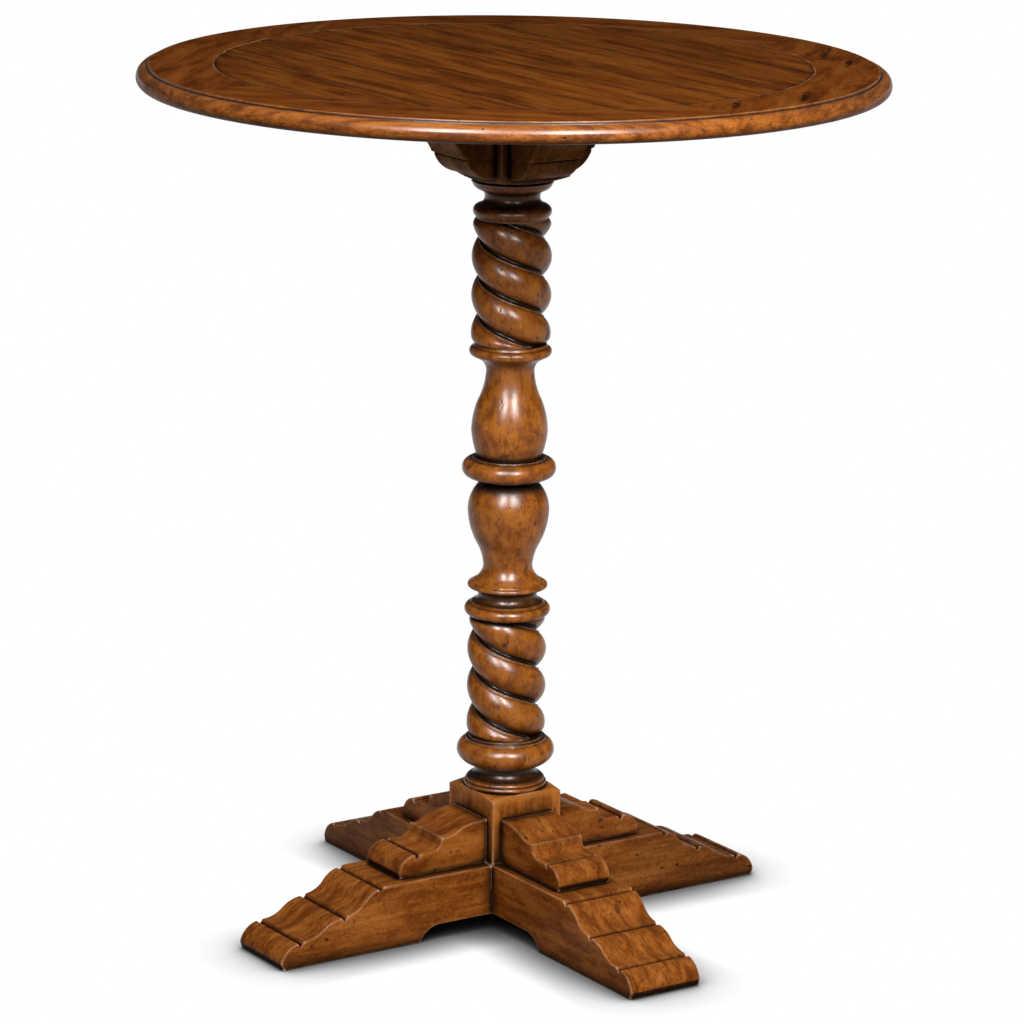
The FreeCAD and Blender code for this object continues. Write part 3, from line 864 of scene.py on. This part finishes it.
def make_column():
    """The turned column, with its two twists between the mouldings."""
    whole = bmesh.new()
    lower_twist = BASE_BLOCK_TOP + FOOT_TURNING
    centre = lower_twist + TWIST
    ring_top = centre + LOWER_VASE
    upper_twist = ring_top + UPPER_VASE
    mouldings = (
        (foot_turning(), BASE_BLOCK_TOP),
        (lower_vase(), centre),
        (upper_vase(), ring_top),
        (capital(), upper_twist + TWIST),
    )
    for points, base in mouldings:
        lathe(whole, stepped(eased(points), COLUMN_STEP), base, COLUMN_SEGMENTS)
    for base, groove_at in ((lower_twist, LOWER_GROOVE_AT), (upper_twist, UPPER_GROOVE_AT)):
        part = bmesh.new()
        add_twist(part, base, groove_at)
        mesh = bpy.data.meshes.new("twist_part")
        part.to_mesh(mesh)
        part.free()
        whole.from_mesh(mesh)
        bpy.data.meshes.remove(mesh)
    # Glazing and painted shade darken its coves and the grooves of its twists
    material = wood("column_wood", grain_along(2), 31, COLUMN_TONE, gloss=0.20, roughness=0.29, grain=0.2,
                    wear_and_highlight=0.35, glaze_and_shade=(0.94, 0.59), reach=0.036, marks=1.7, mottle=(48.0, 76.0),
                    depth=0.8)
    finish_piece("turned_column", whole, "column", material)


# Blocks, brackets and corbels
def make_block(name, node, flat_end, turned_end, tone, seed):
    """A square block. Its corners are turned down at one end, to the round of the column."""
    half = BLOCK_HALF
    corners = [Vector((half, -half)), Vector((half, half)), Vector((-half, half)), Vector((-half, -half))]
    edge = eased(corners, BLOCK_CORNER_EASE, closed=True)
    edge = stepped(edge + edge[:1], BLOCK_STEP)[:-1]
    way = math.copysign(1.0, turned_end - flat_end)
    # Levels of (height, radius that the corners keep within, scale)
    levels = []
    for t in BLOCK_EDGE_SHARES:
        angle = t * QUARTER_TURN
        height = flat_end + way * BLOCK_EASE * (1 - math.cos(angle))
        levels.append((height, math.inf, 1 - BLOCK_EASE * (1 - math.sin(angle)) / half))
    corner = edge[0].length
    for t in SHOULDER_SHARES:
        height = turned_end + way * (SHOULDER_HEIGHT * t - SHOULDER_SINK)
        levels.append((height, corner - (corner - SHOULDER_RADIUS) * t**SHOULDER_CURVE, 1.0))
    flats = [[p * scale * min(1.0, limit / p.length) for p in edge] for height, limit, scale in levels]
    rings = [[(p.x, p.y, level[0]) for p in flat] for level, flat in zip(levels, flats)]
    material = wood(f"{name}_wood", grain_along(2), seed, tone, gloss=0.04, grain=0.5, wear_and_highlight=1.2,
                    marks=1.2, mottle=(18.0, 60.0), strips=0.6, **BASE_GLAZE_AND_SHADE)
    finish_piece(name, stack(rings, flats), node, material)


def bracket_points():
    """Side view of a base bracket, from the block over hump, step, scoop and nose to the rail."""
    block = BLOCK_HALF / MM
    rail = RAIL_TOP / MM
    return outline(
        (block, rail), (block, rail + 57.15), (block + 9.2, rail + 57.15),
        (block + 27.2, rail + 54.95, block + 43.2, rail + 48.95),
        (block + 53.2, rail + 44.45, block + 66.2, rail + 43.95),
        (block + 69.2, rail + 34.45), (block + 75.2, rail + 29.25, block + 85.2, rail + 27.95),
        (block + 97.8, rail + 27.95), (block + 102.0, rail + 22.45), (block + 106.2, rail + 28.55),
        (block + 122.7, rail + 21.45, block + 129.7, rail + 7.45), (block + 127.7, rail),
    )


def corbel_points():
    """Side view of a corbel, from the block over nose, scoop and hump to the underside of the top."""
    block = BLOCK_HALF / MM
    top = TOP_UNDER / MM
    return outline(
        (block, top - 106.1), (block + 8.2, top - 106.1),
        (block + 28.2, top - 97.5, block + 39.7, top - 81.9),
        (block + 38.8, top - 80.5), (block + 43.6, top - 78.5),
        (block + 47.8, top - 70.6, block + 55.2, top - 61.6),
        (block + 64.7, top - 51.1, block + 78.2, top - 42.1), (block + 80.2, top - 42.1),
        (block + 80.2, top - 36.1), (block + 114.2, top - 31.1, block + 139.7, top - 14.1),
        (block + 139.7, top), (block, top),
    )


def foot_points():
    """Half the side view of a rail, from its middle over the foot to the end of the arch."""
    top = RAIL_TOP / MM
    arch = ARCH_HEIGHT / MM
    return outline(
        (0, top), (208.8, top), (213.2, 76.4), (217.4, 80.2), (227, 76.5, 238, 66.5),
        (250, 57.5, 261.6, 54.5), (265.9, 48.0), (270.2, 52.5), (283, 49.8, 297, 41.2),
        (308, 35, 324.0, 32.4), (328.4, 26.2), (333.0, 31.3), (349, 22.5, 356.3, 8.5), (353.5, 0),
        (155.6, 0), (144.6, 13.8, 127.7, arch),
    )


def make_brackets():
    """The four brackets on the rails."""
    for side, quarter in SIDES.items():
        bm = sawn(bracket_points(), BRACKET_HALF_WIDTH, MOULDING_EASE, quarter * QUARTER_TURN)
        material = wood(f"bracket_wood_{side}", grain_along(quarter % 2), 41 + quarter, BASE_TONE,
                        gloss=0.04, grain=0.7, wear_and_highlight=1.3, marks=1.3, mottle=(15.0, 62.0), **BASE_GLAZE_AND_SHADE)
        finish_piece(f"bracket_{side}", bm, f"base_bracket_{side}", material)


def make_corbels():
    """The four corbels under the top."""
    for side, quarter in SIDES.items():
        bm = sawn(corbel_points(), CORBEL_HALF_WIDTH, MOULDING_EASE, quarter * QUARTER_TURN)
        material = wood(f"corbel_wood_{side}", grain_along(quarter % 2), 51 + quarter, CORBEL_TONE,
                        gloss=0.02, roughness=0.5, grain=0.5)
        finish_piece(f"bearer_{side}", bm, f"corbel_{side}", material)


def make_rails():
    """The two foot rails, halved over each other under the base block."""
    lap = (RAIL_TOP + ARCH_HEIGHT) / 2
    for name, quarter, mouth in (("under", 0, RAIL_TOP), ("over", 1, ARCH_HEIGHT)):
        notch = [Vector((0, lap)), Vector((RAIL_HALF_WIDTH, lap)), Vector((RAIL_HALF_WIDTH, mouth))]
        if name == "under":
            points = notch + foot_points()[1:] + [Vector((0, ARCH_HEIGHT))]
        else:
            points = foot_points() + notch[::-1]
        bm = sawn(points, RAIL_HALF_WIDTH, RAIL_EASE, quarter * QUARTER_TURN, both_sides=True)
        # The rail darkens towards its end away from the camera: painted shade
        material = wood(f"rail_wood_{name}", grain_along(quarter), 61 + quarter, BASE_TONE, gloss=0.04,
                        wear_and_highlight=1.4, marks=1.4, mottle=(12.0, 70.0), depth=0.85,
                        painted_shade=(quarter, *RAIL_SHADE_AT, RAIL_SHADE), **BASE_GLAZE_AND_SHADE)
        finish_piece(f"rail_{name}", bm, f"foot_rail_{name}", material)


# Set and light
CAMERA_PLACE = Vector((-2.951, -4.4446, 1.8535))
CAMERA_HEADING = math.radians(33.63)
CAMERA_PITCH = math.radians(14.027)
CAMERA_ROLL = math.radians(0.764)
CAMERA_LENS = 155.8
CAMERA_SENSOR = 36.0
CAMERA_REACH = 200.0

# What the lights face, and how far from it they stand
LIGHT_TARGET = Vector((0, 0, 0.55))
LIGHT_DISTANCE = 3.2

# Lamps light the wood, and cards make the highlights in its lacquer. Each has its heading to the
# left of the camera and its elevation, in degrees, and its power.
LAMP_SIZE = (0.70, 1.15)
LAMPS = {"right_softbox": (-18.0, 35.0, 112.0), "left_softbox": (18.0, 35.0, 26.0)}
CARD_SIZE = (0.60, 1.75)
CARDS = {"right_card": (-19.0, 37.0, 370.0), "left_card": (19.0, 37.0, 340.0)}

# How light the studio is at the horizon, and overhead from this height on
HORIZON_LEVEL = 0.02
OVERHEAD_LEVEL = 0.24
OVERHEAD_FROM = 0.9

# The floor: its half width, its grey, and how far and how strongly the shade on it spreads
FLOOR_REACH = 90.0
FLOOR_GREY = rgba(0.22, 0.215, 0.21)
SHADE_REACH = 0.07
SHADE_STRENGTH = 2.9


def make_camera():
    """The camera at the photograph's place and angle."""
    right = Vector((math.cos(CAMERA_HEADING), -math.sin(CAMERA_HEADING), 0))
    ahead = Vector((math.sin(CAMERA_HEADING), math.cos(CAMERA_HEADING), 0))
    above = Vector((0, 0, 1))
    forward = ahead * math.cos(CAMERA_PITCH) - above * math.sin(CAMERA_PITCH)
    up = ahead * math.sin(CAMERA_PITCH) + above * math.cos(CAMERA_PITCH)
    side = right * math.cos(CAMERA_ROLL) + up * math.sin(CAMERA_ROLL)
    top = up * math.cos(CAMERA_ROLL) - right * math.sin(CAMERA_ROLL)
    data = bpy.data.cameras.new("camera")
    data.lens = CAMERA_LENS
    data.sensor_width = CAMERA_SENSOR
    data.clip_end = CAMERA_REACH
    camera = bpy.data.objects.new("camera", data)
    bpy.context.scene.collection.objects.link(camera)
    basis = Matrix((side, top, -forward)).transposed().to_4x4()
    camera.matrix_world = Matrix.Translation(CAMERA_PLACE) @ basis
    bpy.context.scene.camera = camera


def make_softbox(name, size, heading, elevation, power):
    """An area light that faces the column's middle."""
    angle = CAMERA_HEADING + math.radians(heading)
    flat = Vector((-math.sin(angle), -math.cos(angle), 0))
    lift = math.radians(elevation)
    away = flat * math.cos(lift) + Vector((0, 0, math.sin(lift)))
    data = bpy.data.lights.new(name, "AREA")
    data.shape = "RECTANGLE"
    data.size, data.size_y = size
    data.energy = power
    light = bpy.data.objects.new(name, data)
    bpy.context.scene.collection.objects.link(light)
    light.location = LIGHT_TARGET + away * LIGHT_DISTANCE
    light.rotation_euler = (-away).to_track_quat("-Z", "Y").to_euler()
    return light


def make_lights():
    """Two softboxes, one on each side of the camera and above it. Each place has a lamp for the
    light on the wood and a card for the highlight in its lacquer."""
    for name, settings in LAMPS.items():
        make_softbox(name, LAMP_SIZE, *settings).visible_glossy = False
    for name, settings in CARDS.items():
        make_softbox(name, CARD_SIZE, *settings).visible_diffuse = False


def make_world():
    """A plain grey studio, darker towards the horizon than overhead."""
    world = bpy.data.worlds.new("studio")
    bpy.context.scene.world = world
    nodes = Nodes(world)
    place = nodes.add("ShaderNodeTexCoord").outputs["Generated"]
    level = nodes.add("ShaderNodeMapRange", {
        "Value": nodes.add("ShaderNodeSeparateXYZ", {0: place}).outputs[2],
        "From Min": 0.0,
        "From Max": OVERHEAD_FROM,
        "To Min": HORIZON_LEVEL,
        "To Max": OVERHEAD_LEVEL,
    })
    background = nodes.add("ShaderNodeBackground", {"Strength": level.outputs[0]})
    nodes.add("ShaderNodeOutputWorld", {"Surface": background.outputs[0]})


def floor_material():
    """White where the camera or a reflection sees it, dimmed by the shade of what stands close
    over it, and a grey floor for the light that it throws back."""
    material = bpy.data.materials.new("studio_floor")
    nodes = Nodes(material)
    shade = nodes.math("POWER", nodes.openness(SHADE_REACH, samples=24), SHADE_STRENGTH)
    glow = nodes.add("ShaderNodeEmission", {"Strength": shade}).outputs[0]
    grey = nodes.add("ShaderNodeBsdfDiffuse", {"Color": FLOOR_GREY}).outputs[0]
    path = nodes.add("ShaderNodeLightPath")
    seen = nodes.math("MAXIMUM", path.outputs["Is Camera Ray"], path.outputs["Is Glossy Ray"])
    seen = nodes.math("MAXIMUM", seen, path.outputs["Is Transmission Ray"])
    surface = nodes.add("ShaderNodeMixShader", {0: seen, 1: grey, 2: glow}).outputs[0]
    nodes.add("ShaderNodeOutputMaterial", {"Surface": surface})
    return material


def make_floor():
    """A plain pale floor out to the horizon."""
    bm = bmesh.new()
    signs = ((-1, -1), (1, -1), (1, 1), (-1, 1))
    bm.faces.new([bm.verts.new((x * FLOOR_REACH, y * FLOOR_REACH, 0.0)) for x, y in signs])
    mesh = bpy.data.meshes.new("floor")
    bm.to_mesh(mesh)
    bm.free()
    floor = bpy.data.objects.new("floor", mesh)
    mesh.materials.append(floor_material())
    bpy.context.scene.collection.objects.link(floor)


make_boards()
make_rim()
make_column()
make_block("base_square", "base_block", RAIL_TOP, BASE_BLOCK_TOP, BLOCK_TONE, 71)
make_block("top_square", "top_block", TOP_UNDER, TOP_BLOCK_UNDER - TOP_SHOULDER_DROP, CORBEL_TONE, 72)
make_brackets()
make_corbels()
make_rails()
make_camera()
make_lights()
make_world()
make_floor()

bpy.context.scene.view_settings.view_transform = "Standard"
